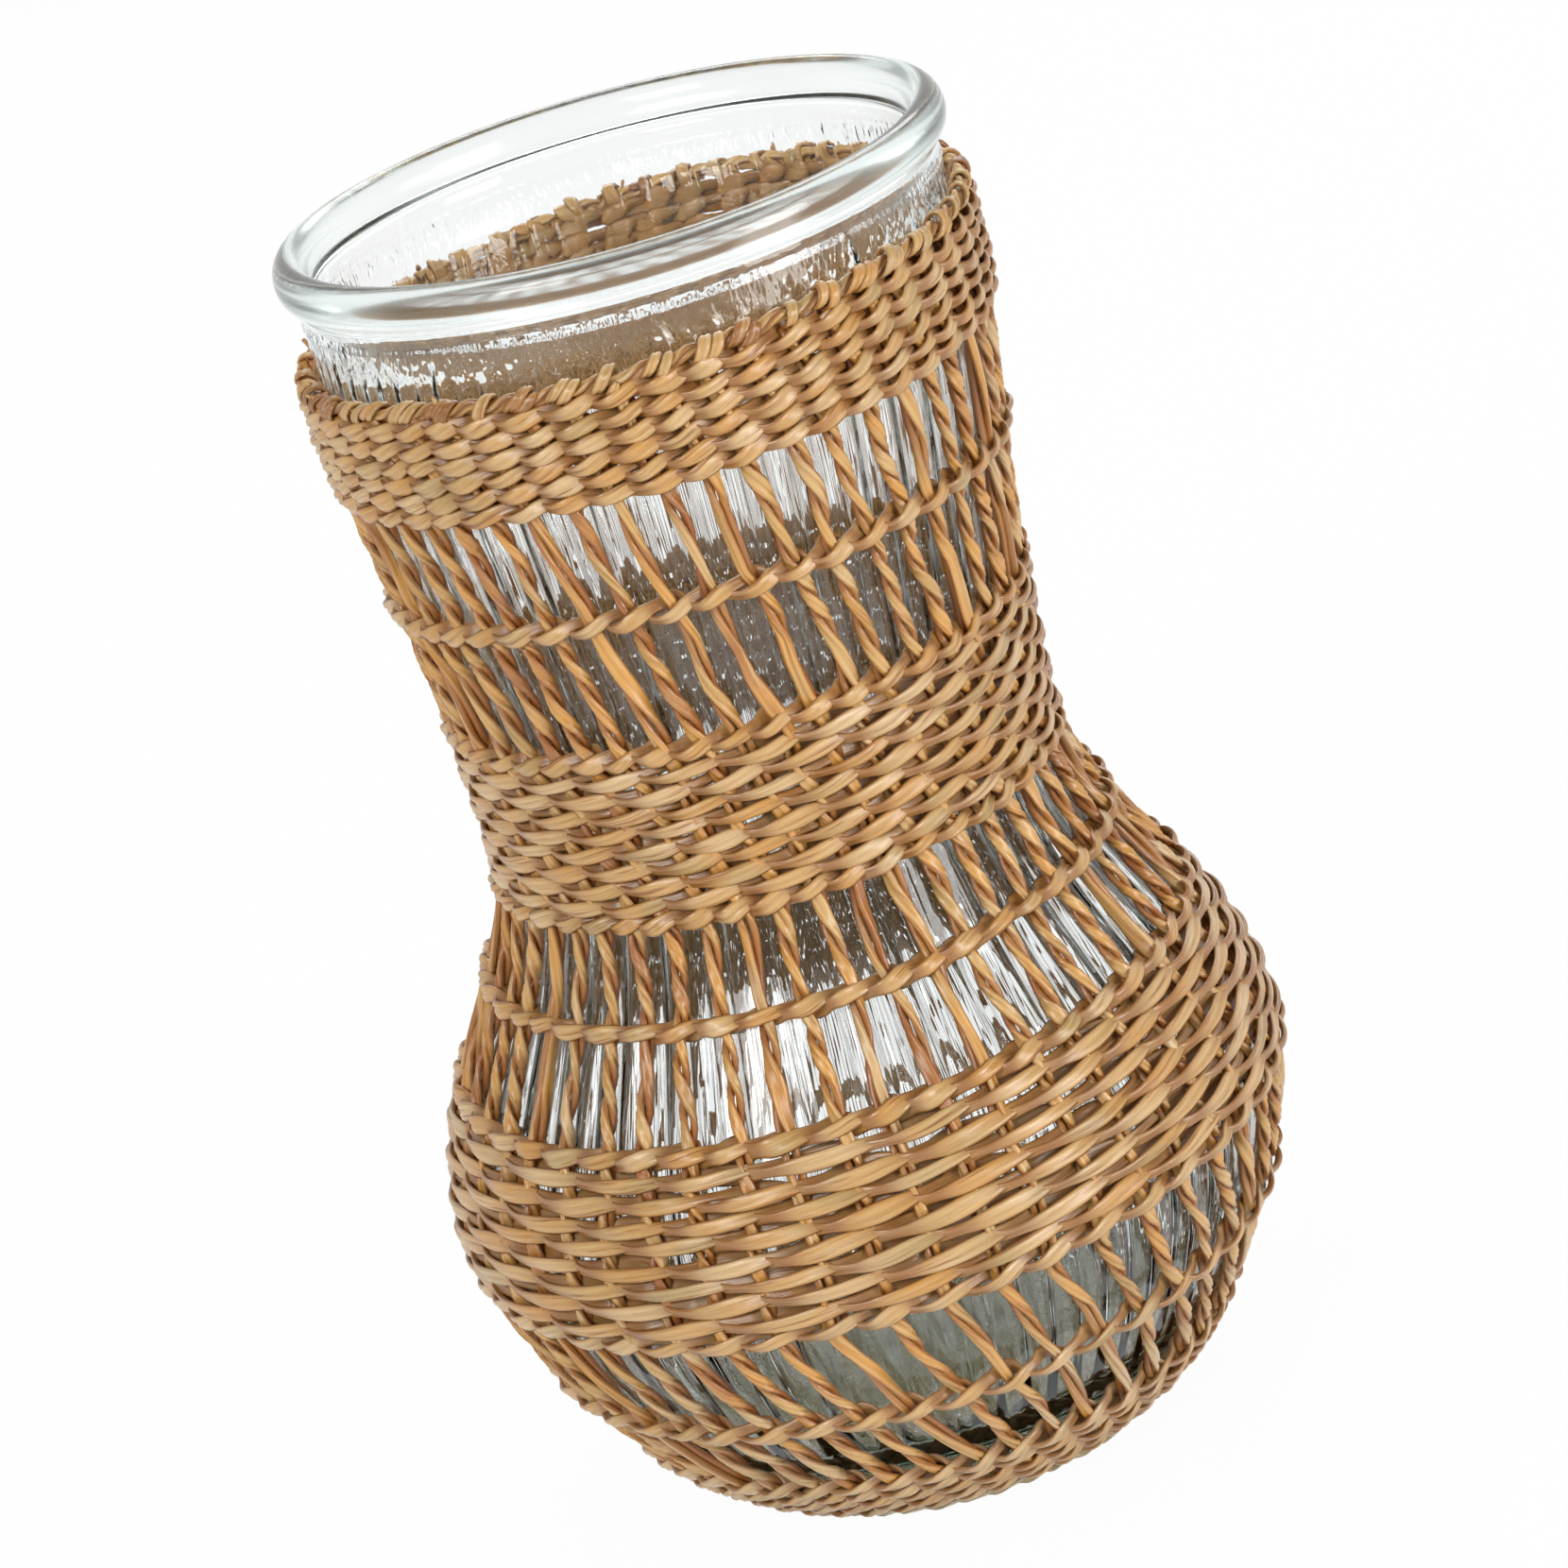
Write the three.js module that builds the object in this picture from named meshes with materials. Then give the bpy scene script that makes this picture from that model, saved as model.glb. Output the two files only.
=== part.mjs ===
// A clear glass vase held in a sleeve of twined rush.
// Millimetres, +Z up, origin on the table under the middle of the base.

import * as THREE from 'three';

// Glass vessel: its height and those of its belly and waist above the table, outer radii and thickness
const vaseHeight = 286.5;
const footRadius = 46;
const bellyRadius = 86.8;
const bellyHeight = 71;
const waistRadius = 57.2;
const waistHeight = 156;
const collarRadius = 66.7;
const bareCollar = 10.7;
const rimOverhang = 3.3;
const rimBeadHeight = 9.5;
const glassWall = 4;
const glassFloor = 11;

// Curve of the glass: a heel fullness of 1 is straight and 2 elliptical, and the flare is a slope
const heelFullness = 1.5;
const neckFlare = 0.08;

// Sleeve: its cords, its strands and the gap between pieces that touch
const warpCount = 48;
const warpDiameter = 2.6;
const weftThickness = 1.8;
const rowGroove = 1.2;
const singleRowWidth = 4.4;
const borderHeight = 4.4;
const borderThickness = 4.8;
const matThickness = 4.7;
const matGroove = 1.3;
const seatGap = 0.3;

// Sleeve: heights of the bands and of the open stretches between them, in order from the mat upwards
const matBrim = 1.6;
const heelBandHeight = 15.2;
const lowerOpening = 43.9;
const bellyBandHeight = 39.7;
const shoulderOpening = 39.9;
const waistBandHeight = 41;
const topBandHeight = 21.9;

// Twined rows in each band, and rings of the mat from its middle out to the foot of the glass
const heelBandRows = 5;
const bellyBandRows = 10;
const waistBandRows = 10;
const topBandRows = 6;
const matRings = 11;

// Place of the single row in each open stretch, as a share of the stretch from below
const lowerRowShare = 0.46;
const shoulderRowShare = 0.51;
const upperRowShare = 0.53;

// Lean of the warps from plumb, in degrees, positive where the lower end lies further round to +X
const neckLean = 9;
const shoulderLean = 1;
const lowerLean = 20;

// Fineness of the solids
const roundSegments = 32;
const heelSteps = 6;
const shoulderSteps = 6;
const neckSteps = 3;
const rimSteps = 7;
const borderSides = 8;
const warpSides = 5;

// Offsets from the glass, square to its wall
const warpOffset = seatGap + warpDiameter / 2;
const weftInnerOffset = seatGap + warpDiameter + seatGap;
const weftOuterOffset = weftInnerOffset + weftThickness;

// Heights on the glass of the edges of the bands
const glassBottom = matThickness + seatGap;
const matEdge = glassBottom + matBrim;
const heelBandBottom = matEdge + seatGap;
const heelBandTop = heelBandBottom + heelBandHeight;
const bellyBandBottom = heelBandTop + lowerOpening;
const bellyBandTop = bellyBandBottom + bellyBandHeight;
const waistBandBottom = bellyBandTop + shoulderOpening;
const waistBandTop = waistBandBottom + waistBandHeight;

// The top of the sleeve keeps its distance from the rim, so the open neck takes up the height that is left
const rimBase = vaseHeight - rimBeadHeight;
const borderBottom = rimBase - bareCollar - borderHeight;
const topBandTop = borderBottom - seatGap;
const topBandBottom = topBandTop - topBandHeight;
const neckOpening = topBandBottom - waistBandTop;

// The collar starts behind the top band and stands bare above the border, up to the rim
const collarHeight = topBandBottom + topBandHeight / 2;
const rimRadius = collarRadius + rimOverhang;
const mouthRadius = collarRadius - glassWall;
const floorTop = glassBottom + glassFloor;

const glassMaterial = new THREE.MeshStandardMaterial({
  color: 0xdfe8e4, roughness: 0.06, metalness: 0, transparent: true, opacity: 0.35,
});
const warpMaterial = new THREE.MeshStandardMaterial({ color: 0xbf8f52, roughness: 0.62, metalness: 0 });
const weftMaterial = new THREE.MeshStandardMaterial({ color: 0xc9a266, roughness: 0.55, metalness: 0 });

const vase = new THREE.Group();

function addPiece(name, geometry, material) {
  const mesh = new THREE.Mesh(geometry, material);
  mesh.name = name;
  vase.add(mesh);
}

// The outer curve of the glass is a row of stations: a point (radius, height) and the outward normal there
function station(radius, height, normalOut, normalUp) {
  const point = new THREE.Vector2(radius, height);
  const normal = new THREE.Vector2(normalOut, normalUp).normalize();
  return { point, normal };
}

// Heel: a superellipse from the flat foot out to the belly
function heelStation(step) {
  const angle = (1 - step / heelSteps) * Math.PI / 2;
  const across = Math.cos(angle) ** (2 / heelFullness);
  const down = Math.sin(angle) ** (2 / heelFullness);
  const width = bellyRadius - footRadius;
  const depth = bellyHeight - glassBottom;
  const normalOut = depth * across ** (heelFullness - 1);
  const normalUp = -width * down ** (heelFullness - 1);
  return station(footRadius + width * across, bellyHeight - depth * down, normalOut, normalUp);
}

// Shoulder: half a cosine wave from the belly in to the waist
function shoulderStation(step) {
  const phase = Math.PI * step / shoulderSteps;
  const swing = (bellyRadius - waistRadius) / 2;
  const length = waistHeight - bellyHeight;
  const slope = -swing * Math.PI / length * Math.sin(phase);
  const radius = waistRadius + swing * (1 + Math.cos(phase));
  return station(radius, bellyHeight + length * step / shoulderSteps, 1, -slope);
}

// Neck: a cubic from the upright waist out to the collar, which it meets at its flare
function neckStation(step) {
  const share = step / neckSteps;
  const length = collarHeight - waistHeight;
  const spread = collarRadius - waistRadius;
  const square = 3 * spread - neckFlare * length;
  const cube = neckFlare * length - 2 * spread;
  const slope = (2 * square * share + 3 * cube * share ** 2) / length;
  const radius = waistRadius + square * share ** 2 + cube * share ** 3;
  return station(radius, waistHeight + length * share, 1, -slope);
}

const wall = [];
for (let step = 0; step < heelSteps; step += 1) wall.push(heelStation(step));
for (let step = 0; step < shoulderSteps; step += 1) wall.push(shoulderStation(step));
for (let step = 0; step < neckSteps; step += 1) wall.push(neckStation(step));
wall.push(station(collarRadius, collarHeight, 1, 0));
wall.push(station(collarRadius, rimBase, 1, 0));

// A point at an offset from the glass, over the given height on its wall
function onWall(height, offset) {
  const above = wall.findIndex((at, index) => index > 0 && height <= at.point.y);
  const [from, to] = [wall[above - 1], wall[above]];
  const share = (height - from.point.y) / (to.point.y - from.point.y);
  const start = from.point.clone().addScaledVector(from.normal, offset);
  const end = to.point.clone().addScaledVector(to.normal, offset);
  return start.lerp(end, share);
}

// The heights of a stretch of wall: its two ends and every station between them
function wallHeights(low, high) {
  const inside = wall.map((at) => at.point.y).filter((height) => height > low && height < high);
  return [low, ...inside, high];
}

// A solid turned about the axis, from an outline that starts and ends on the axis or closes on itself
function turned(outline) {
  return new THREE.LatheGeometry(outline, roundSegments).rotateX(Math.PI / 2);
}

// The flats of a turned ring lie inside its circle, so a ring round other pieces is widened to clear them
const flatsAllowance = 1 / Math.cos(Math.PI / roundSegments);
function turnedRound(outline) {
  const widened = outline.map((point) => new THREE.Vector2(point.x * flatsAllowance, point.y));
  return turned(widened);
}

// Rim: a bead, elliptical in section, from under its overhang over the top to the mouth
function rimOutline() {
  const across = (rimRadius - mouthRadius) / 2;
  const up = rimBeadHeight / 2;
  const sweep = Math.PI * 3 / 2;
  const outline = [];
  for (let step = 1; step <= rimSteps; step += 1) {
    const angle = step / rimSteps * sweep - Math.PI / 2;
    const radius = mouthRadius + across * (1 + Math.cos(angle));
    outline.push(new THREE.Vector2(radius, rimBase + up * (1 + Math.sin(angle))));
  }
  return outline;
}

function glassGeometry() {
  const outside = wall.map((at) => at.point);
  const inside = wall.slice(0, -1).map((at) => at.point.clone().addScaledVector(at.normal, -glassWall));
  const above = inside.findIndex((point) => point.y > floorTop);
  const share = (floorTop - inside[above - 1].y) / (inside[above].y - inside[above - 1].y);
  const floorEdge = inside[above - 1].clone().lerp(inside[above], share);
  const axisFoot = new THREE.Vector2(0, glassBottom);
  const axisFloor = new THREE.Vector2(0, floorTop);
  const bore = inside.slice(above).reverse();
  return turned([axisFoot, ...outside, ...rimOutline(), ...bore, floorEdge, axisFloor]);
}

// Warps climb the wall from the brim of the mat to the border, and bend only at the stations of the wall
const warpHeights = wallHeights(heelBandBottom, topBandTop);

function leanAt(height) {
  if (height > waistBandBottom) return neckLean;
  if (height > bellyBandBottom) return shoulderLean;
  return lowerLean;
}

// Turn of a warp about the axis at each of its heights, counted down from the border
function warpTurns() {
  const turns = [0];
  for (let index = warpHeights.length - 1; index > 0; index -= 1) {
    const upper = onWall(warpHeights[index], warpOffset);
    const lower = onWall(warpHeights[index - 1], warpOffset);
    const middle = (warpHeights[index] + warpHeights[index - 1]) / 2;
    const sideways = Math.tan(THREE.MathUtils.degToRad(leanAt(middle))) * upper.distanceTo(lower);
    turns.unshift(turns[0] + sideways / ((upper.x + lower.x) / 2));
  }
  return turns;
}

const turnAtHeight = warpTurns();

class WarpPath extends THREE.Curve {
  constructor(startAngle) {
    super();
    this.corners = warpHeights.map((height, index) => {
      const place = onWall(height, warpOffset);
      const angle = startAngle + turnAtHeight[index];
      return new THREE.Vector3(place.x * Math.cos(angle), place.x * Math.sin(angle), place.y);
    });
  }

  getPoint(t) {
    const along = THREE.MathUtils.clamp(t, 0, 1) * (this.corners.length - 1);
    const index = Math.min(Math.floor(along), this.corners.length - 2);
    return this.corners[index].clone().lerp(this.corners[index + 1], along - index);
  }

  // The tube has one section at each corner, so its steps follow the corners and not the length
  getUtoTmapping(u) {
    return u;
  }
}

function warpGeometry(startAngle) {
  const corners = [];
  for (let side = 0; side < warpSides; side += 1) {
    const angle = side / warpSides * Math.PI * 2;
    corners.push(new THREE.Vector2(Math.cos(angle), Math.sin(angle)).multiplyScalar(warpDiameter / 2));
  }
  const extrudePath = new WarpPath(startAngle);
  const steps = warpHeights.length - 1;
  return new THREE.ExtrudeGeometry(new THREE.Shape(corners), { steps, bevelEnabled: false, extrudePath });
}

// A band of twined rows: smooth over the warps, with a ridge for each row outside
function bandGeometry(bottom, height, rows) {
  const pitch = height / rows;
  const inner = wallHeights(bottom, bottom + height).map((at) => onWall(at, weftInnerOffset));
  const outer = [];
  for (let row = 0; row < rows; row += 1) {
    outer.push(onWall(bottom + pitch * row, weftOuterOffset - rowGroove));
    outer.push(onWall(bottom + pitch * (row + 0.5), weftOuterOffset));
  }
  outer.push(onWall(bottom + height, weftOuterOffset - rowGroove));
  return turnedRound([...outer, ...inner.reverse(), outer[0]]);
}

// A single twined row: a flattened ring over the warps, part of the way up an open stretch
function rowGeometry(bottom, opening, share) {
  const height = bottom + opening * share;
  const edge = singleRowWidth / 2;
  const flat = singleRowWidth / 4;
  const outline = [
    onWall(height - edge, weftInnerOffset + weftThickness / 2),
    onWall(height - flat, weftOuterOffset),
    onWall(height + flat, weftOuterOffset),
    onWall(height + edge, weftInnerOffset + weftThickness / 2),
    onWall(height + flat, weftInnerOffset),
    onWall(height - flat, weftInnerOffset),
  ];
  return turnedRound([...outline, outline[0]]);
}

// The border cord lies on the ends of the warps, close round the collar
function borderGeometry() {
  const across = borderThickness / 2;
  const up = borderHeight / 2;
  const centre = onWall(borderBottom + up, seatGap + across);
  const outline = [];
  for (let side = 0; side <= borderSides; side += 1) {
    const angle = side % borderSides / borderSides * Math.PI * 2;
    const offset = new THREE.Vector2(across * Math.cos(angle), up * Math.sin(angle));
    outline.push(offset.add(centre));
  }
  return turnedRound(outline);
}

// The mat is a shallow woven dish: flat below, ringed inside, its brim turned up round the foot of the glass
function matGeometry() {
  const pitch = footRadius / matRings;
  const seat = wallHeights(glassBottom, matEdge).map((height) => onWall(height, seatGap));
  const brim = onWall(matEdge, weftOuterOffset);
  const underside = new THREE.Vector2(brim.x - brim.y, 0);
  const axisUnder = new THREE.Vector2(0, 0);
  const rings = [new THREE.Vector2(0, matThickness - matGroove)];
  for (let ring = 1; ring < matRings; ring += 1) {
    rings.push(new THREE.Vector2(pitch * ring, matThickness));
    rings.push(new THREE.Vector2(pitch * (ring + 0.5), matThickness - matGroove));
  }
  return turnedRound([axisUnder, underside, brim, ...seat.reverse(), ...rings.reverse()]);
}

addPiece('glass_vessel', glassGeometry(), glassMaterial);
for (let index = 0; index < warpCount; index += 1) {
  const label = String(index + 1).padStart(2, '0');
  addPiece(`warp_cord_${label}`, warpGeometry(index / warpCount * Math.PI * 2), warpMaterial);
}
addPiece('base_mat', matGeometry(), weftMaterial);
addPiece('heel_band', bandGeometry(heelBandBottom, heelBandHeight, heelBandRows), weftMaterial);
addPiece('lower_row', rowGeometry(heelBandTop, lowerOpening, lowerRowShare), weftMaterial);
addPiece('belly_band', bandGeometry(bellyBandBottom, bellyBandHeight, bellyBandRows), weftMaterial);
addPiece('shoulder_row', rowGeometry(bellyBandTop, shoulderOpening, shoulderRowShare), weftMaterial);
addPiece('waist_band', bandGeometry(waistBandBottom, waistBandHeight, waistBandRows), weftMaterial);
addPiece('upper_row', rowGeometry(waistBandTop, neckOpening, upperRowShare), weftMaterial);
addPiece('top_band', bandGeometry(topBandBottom, topBandHeight, topBandRows), weftMaterial);
addPiece('rim_border', borderGeometry(), weftMaterial);

export default vase;
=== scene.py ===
# %% [markdown]
# # A glass vase in a twined rush sleeve
# The vase is a clear glass vessel with a woven coat. The coat has upright cords, called warps, each of
# two rush strands twisted together, and level rows of strands, called wefts, twined round them.
# The solids of the part are the frame: every piece below stands where its solid stands.

# %% Load the frame
import math

import bpy
import numpy as np
from mathutils import Matrix, Vector


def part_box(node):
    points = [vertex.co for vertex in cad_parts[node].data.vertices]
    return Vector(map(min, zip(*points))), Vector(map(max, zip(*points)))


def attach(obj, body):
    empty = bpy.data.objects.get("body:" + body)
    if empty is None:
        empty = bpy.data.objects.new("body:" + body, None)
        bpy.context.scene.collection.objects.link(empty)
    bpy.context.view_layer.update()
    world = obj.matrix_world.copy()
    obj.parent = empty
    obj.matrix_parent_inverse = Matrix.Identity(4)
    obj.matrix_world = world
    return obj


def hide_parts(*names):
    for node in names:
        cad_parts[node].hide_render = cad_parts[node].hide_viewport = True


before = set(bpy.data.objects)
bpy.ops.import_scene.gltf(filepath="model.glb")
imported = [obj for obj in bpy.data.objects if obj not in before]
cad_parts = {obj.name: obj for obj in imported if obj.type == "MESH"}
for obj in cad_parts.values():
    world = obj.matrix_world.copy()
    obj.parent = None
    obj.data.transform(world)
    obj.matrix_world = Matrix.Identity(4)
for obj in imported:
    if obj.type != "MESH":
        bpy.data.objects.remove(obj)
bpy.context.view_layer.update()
bpy.ops.object.select_all(action="DESELECT")
print("solids in the frame:", len(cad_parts))

# %% [markdown]
# ## The curve that everything follows
# A sleeve is woven on the vessel itself, so every cord and strand lies at some small distance from the
# glass. One function gives the radius of the glass at a height, and a second one places a point at an
# offset from it. All lengths are in metres, written in millimetres times MM.

# %% Sizes of the glass and of the sleeve
MM = 0.001
GLASS_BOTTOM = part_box("glass_vessel")[0][2]
RIM_TOP = 286.5 * MM
FOOT_RADIUS = 46 * MM
BELLY_RADIUS = 86.8 * MM
BELLY_HEIGHT = 71 * MM
WAIST_RADIUS = 57.2 * MM
WAIST_HEIGHT = 156 * MM
COLLAR_RADIUS = 66.7 * MM
COLLAR_HEIGHT = 250.65 * MM
HEEL_FULLNESS = 1.5
NECK_FLARE = 0.08
WARP_COUNT = 48

# Heights on the glass of the edges of the bands and of the middles of the single rows
HEEL_BAND = (6.9 * MM, 22.1 * MM)
BELLY_BAND = (66.0 * MM, 105.7 * MM)
WAIST_BAND = (145.6 * MM, 186.6 * MM)
TOP_BAND = (239.7 * MM, 261.6 * MM)
LOWER_ROW = 42.3 * MM
SHOULDER_ROW = 126.0 * MM
UPPER_ROW = 214.7 * MM


def wall(height):
    """Radius of the outside of the glass at a height, and its slope there."""
    heel_depth = BELLY_HEIGHT - GLASS_BOTTOM
    heel_width = BELLY_RADIUS - FOOT_RADIUS
    down = np.clip((BELLY_HEIGHT - height) / heel_depth, 0, 1)
    across = np.maximum(1 - down ** HEEL_FULLNESS, 1e-6) ** (1 / HEEL_FULLNESS)
    heel = FOOT_RADIUS + heel_width * across
    heel_slope = heel_width / heel_depth * (down / np.maximum(across, 0.02)) ** (HEEL_FULLNESS - 1)

    swing = (BELLY_RADIUS - WAIST_RADIUS) / 2
    shoulder_length = WAIST_HEIGHT - BELLY_HEIGHT
    phase = np.pi * np.clip((height - BELLY_HEIGHT) / shoulder_length, 0, 1)
    shoulder = WAIST_RADIUS + swing * (1 + np.cos(phase))
    shoulder_slope = -swing * np.pi / shoulder_length * np.sin(phase)

    neck_length = COLLAR_HEIGHT - WAIST_HEIGHT
    spread = COLLAR_RADIUS - WAIST_RADIUS
    share = np.clip((height - WAIST_HEIGHT) / neck_length, 0, 1)
    square = 3 * spread - NECK_FLARE * neck_length
    cube = NECK_FLARE * neck_length - 2 * spread
    neck = WAIST_RADIUS + square * share ** 2 + cube * share ** 3
    neck_slope = np.where(share < 1, (2 * square * share + 3 * cube * share ** 2) / neck_length, 0)

    radius = np.where(height < BELLY_HEIGHT, heel, np.where(height < WAIST_HEIGHT, shoulder, neck))
    slope = np.where(height < BELLY_HEIGHT, heel_slope,
                     np.where(height < WAIST_HEIGHT, shoulder_slope, neck_slope))
    return radius, slope


def on_wall(height, angle, offset, lift=0.0, aside=0.0):
    """Points at an offset from the glass, with the outward, upward and sideways directions there."""
    radius, slope = wall(height)
    tilt = 1 / np.sqrt(1 + slope ** 2)
    outward = np.stack([tilt * np.cos(angle), tilt * np.sin(angle), -slope * tilt + 0 * angle], axis=-1)
    upward = np.stack([slope * tilt * np.cos(angle), slope * tilt * np.sin(angle), tilt + 0 * angle], axis=-1)
    sideways = np.stack([-np.sin(angle), np.cos(angle), 0 * angle], axis=-1)
    foot = np.stack([radius * np.cos(angle), radius * np.sin(angle), height + 0 * angle], axis=-1)
    place = foot + outward * np.asarray(offset)[..., None] + upward * np.asarray(lift)[..., None]
    return place + sideways * np.asarray(aside)[..., None], outward, upward, sideways


print("glass from", round(GLASS_BOTTOM, 4), "to", round(RIM_TOP, 4), "m")

# %% [markdown]
# ## The camera
# The vase leans in the picture because the camera was rolled, not because the vase tips. A long lens
# looks down at it a little. The values come from fitting ellipses to the rim and to the woven rows.

# %% Camera
VIEW_ELEVATION = math.radians(20.46)
VIEW_ROLL = math.radians(15.7)
VIEW_DISTANCE = 1.1049
VIEW_TARGET = Vector((0.0017, 0, 0.1484))
FOCAL_PIXELS = 5565.8
PICTURE_PIXELS = 1660

right = Vector((1, 0, 0))
up = Vector((0, math.sin(VIEW_ELEVATION), math.cos(VIEW_ELEVATION)))
back = right.cross(up)
rolled_right = right * math.cos(VIEW_ROLL) - up * math.sin(VIEW_ROLL)
rolled_up = right * math.sin(VIEW_ROLL) + up * math.cos(VIEW_ROLL)

bpy.ops.object.camera_add()
camera = bpy.context.object
camera.name = "studio_camera"
camera.data.sensor_width = 36
camera.data.lens = FOCAL_PIXELS / PICTURE_PIXELS * camera.data.sensor_width
camera.data.clip_end = 50
turn_axes = Matrix((rolled_right, rolled_up, back)).transposed()
camera.matrix_world = Matrix.Translation(VIEW_TARGET + back * VIEW_DISTANCE) @ turn_axes.to_4x4()
bpy.context.scene.camera = camera
print("lens", round(camera.data.lens, 1), "mm")

# %% [markdown]
# ## Node helpers
# The materials below are small trees of nodes. A few helpers keep them short: each adds one node, links or
# sets its inputs and gives back its output.

# %% Node helpers


def feed(tree, socket, value):
    """Links a node's output to a socket, or sets the socket to a plain number or colour."""
    if isinstance(value, bpy.types.NodeSocket):
        tree.links.new(value, socket)
    else:
        socket.default_value = value


def maths(tree, operation, first, second=0.0):
    """A sum, product or other operation on two numbers."""
    node = tree.nodes.new("ShaderNodeMath")
    node.operation = operation
    feed(tree, node.inputs[0], first)
    feed(tree, node.inputs[1], second)
    return node.outputs[0]


def vector_maths(tree, operation, first, second=(0, 0, 0)):
    """The same for two vectors."""
    node = tree.nodes.new("ShaderNodeVectorMath")
    node.operation = operation
    feed(tree, node.inputs[0], first)
    feed(tree, node.inputs[1], second)
    return node.outputs[0]


def mix_colour(tree, share, first, second):
    """The first colour, with a share of the second over it."""
    node = tree.nodes.new("ShaderNodeMix")
    node.data_type = "RGBA"
    feed(tree, node.inputs[0], share)
    feed(tree, node.inputs[6], first)
    feed(tree, node.inputs[7], second)
    return node.outputs[2]


def noise(tree, vector, detail=3.0, roughness=0.55):
    """A noise from about 0 to 1 whose scale is already in its vector."""
    node = tree.nodes.new("ShaderNodeTexNoise")
    node.inputs["Scale"].default_value = 1
    node.inputs["Detail"].default_value = detail
    node.inputs["Roughness"].default_value = roughness
    tree.links.new(vector, node.inputs["Vector"])
    return node.outputs["Fac"]


def ramp(tree, value, low, high):
    """A smooth step from 0 at low to 1 at high."""
    node = tree.nodes.new("ShaderNodeMapRange")
    node.interpolation_type = "SMOOTHSTEP"
    feed(tree, node.inputs["Value"], value)
    node.inputs["From Min"].default_value = low
    node.inputs["From Max"].default_value = high
    return node.outputs["Result"]


print("node helpers ready")

# %% [markdown]
# ## The glass
# The vessel is pressed glass: round outside, with a rolled rim, a thick base and about 76 shallow flutes
# inside, with arched tops under the rim. A round form is drawn once as a profile and spun. The flutes
# can't be spun, so the inner points are pushed into the wall afterwards.

# %% Profile of the glass
GLASS_WALL = 4 * MM
HOLLOW_RADIUS = 43 * MM
HOLLOW_DEPTH = 3.2 * MM
FLOOR_TOP = 16 * MM
FLOOR_DIP = 0.6 * MM
FLOOR_FLAT = 40 * MM
BEND_TOP = 26 * MM
BEND_REACH = 9 * MM
RIM_BASE = RIM_TOP - 9.5 * MM
MOUTH_RADIUS = COLLAR_RADIUS - GLASS_WALL
RIM_RADIUS = COLLAR_RADIUS + 3.3 * MM
SEAM_PROUD = 0.3 * MM
LIP_BULGE = 0.12 * MM


def inner_wall(height):
    """Radius and height of the inside of the glass: the outer curve moved inwards along its normal."""
    radius, slope = wall(height)
    tilt = 1 / np.sqrt(1 + slope ** 2)
    return np.stack([radius - GLASS_WALL * tilt, height + GLASS_WALL * slope * tilt], axis=1)


def smooth_bend(start, corner, end, steps):
    """Points of a bend from start to end that heads for the corner between them."""
    share = np.linspace(0, 1, steps)[:, None]
    start, corner, end = np.array(start), np.array(corner), np.array(end)
    return (1 - share) ** 2 * start + 2 * share * (1 - share) * corner + share ** 2 * end


def glass_outside():
    """From the hollow under the base, out over the heel and up to the collar."""
    hollow = smooth_bend((0, GLASS_BOTTOM + HOLLOW_DEPTH), (HOLLOW_RADIUS - 5 * MM, GLASS_BOTTOM + 3 * MM),
                         (HOLLOW_RADIUS, GLASS_BOTTOM + 0.1 * MM), 6)
    heel_angle = np.linspace(np.pi / 2, 0, 22)
    heel_depth = BELLY_HEIGHT - GLASS_BOTTOM
    heel_height = BELLY_HEIGHT - heel_depth * np.sin(heel_angle) ** (2 / HEEL_FULLNESS)
    shoulder_height = np.linspace(BELLY_HEIGHT, WAIST_HEIGHT, 14)[1:]
    neck_height = np.linspace(WAIST_HEIGHT, COLLAR_HEIGHT, 12)[1:]
    height = np.concatenate([heel_height, shoulder_height, neck_height])
    return np.concatenate([hollow, np.stack([wall(height)[0], height], axis=1)])


def glass_rim():
    """A fine mould seam, a cove, the rolled bead and a soft lip inside the mouth."""
    seam = [(COLLAR_RADIUS, RIM_BASE - 5.2 * MM), (COLLAR_RADIUS + SEAM_PROUD, RIM_BASE - 4.7 * MM),
            (COLLAR_RADIUS, RIM_BASE - 4.0 * MM)]
    half_width = (RIM_RADIUS - MOUTH_RADIUS) / 2
    half_height = (RIM_TOP - RIM_BASE) / 2
    angle = np.radians(np.linspace(-48, 180, 17))
    bead = np.stack([MOUTH_RADIUS + half_width * (1 + np.cos(angle)),
                     RIM_BASE + half_height * (1 + np.sin(angle))], axis=1)
    cove = smooth_bend((COLLAR_RADIUS, RIM_BASE - 2.6 * MM), (COLLAR_RADIUS, RIM_BASE + 0.4 * MM), bead[0], 6)
    lip = [(MOUTH_RADIUS - LIP_BULGE, RIM_BASE + 3.2 * MM), (MOUTH_RADIUS - LIP_BULGE, RIM_BASE + 2 * MM),
           (MOUTH_RADIUS, RIM_BASE + 0.4 * MM)]
    return np.concatenate([seam, cove[:-1], bead, lip])


def glass_inside():
    """Down the inside of the wall and round on to the floor."""
    height = np.concatenate([np.linspace(RIM_BASE - 1.5 * MM, COLLAR_HEIGHT + 2 * MM, 14),
                             np.linspace(COLLAR_HEIGHT, BEND_TOP, 32)])
    inside = inner_wall(height)
    corner = (inside[-1][0] - BEND_REACH, FLOOR_TOP)
    bend = smooth_bend(inside[-1], corner, (FLOOR_FLAT, FLOOR_TOP), 7)
    return np.concatenate([inside, bend[1:], [(0, FLOOR_TOP - FLOOR_DIP)]])


profile = np.concatenate([glass_outside(), glass_rim(), glass_inside()])
print("points of the glass profile:", len(profile))

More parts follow.
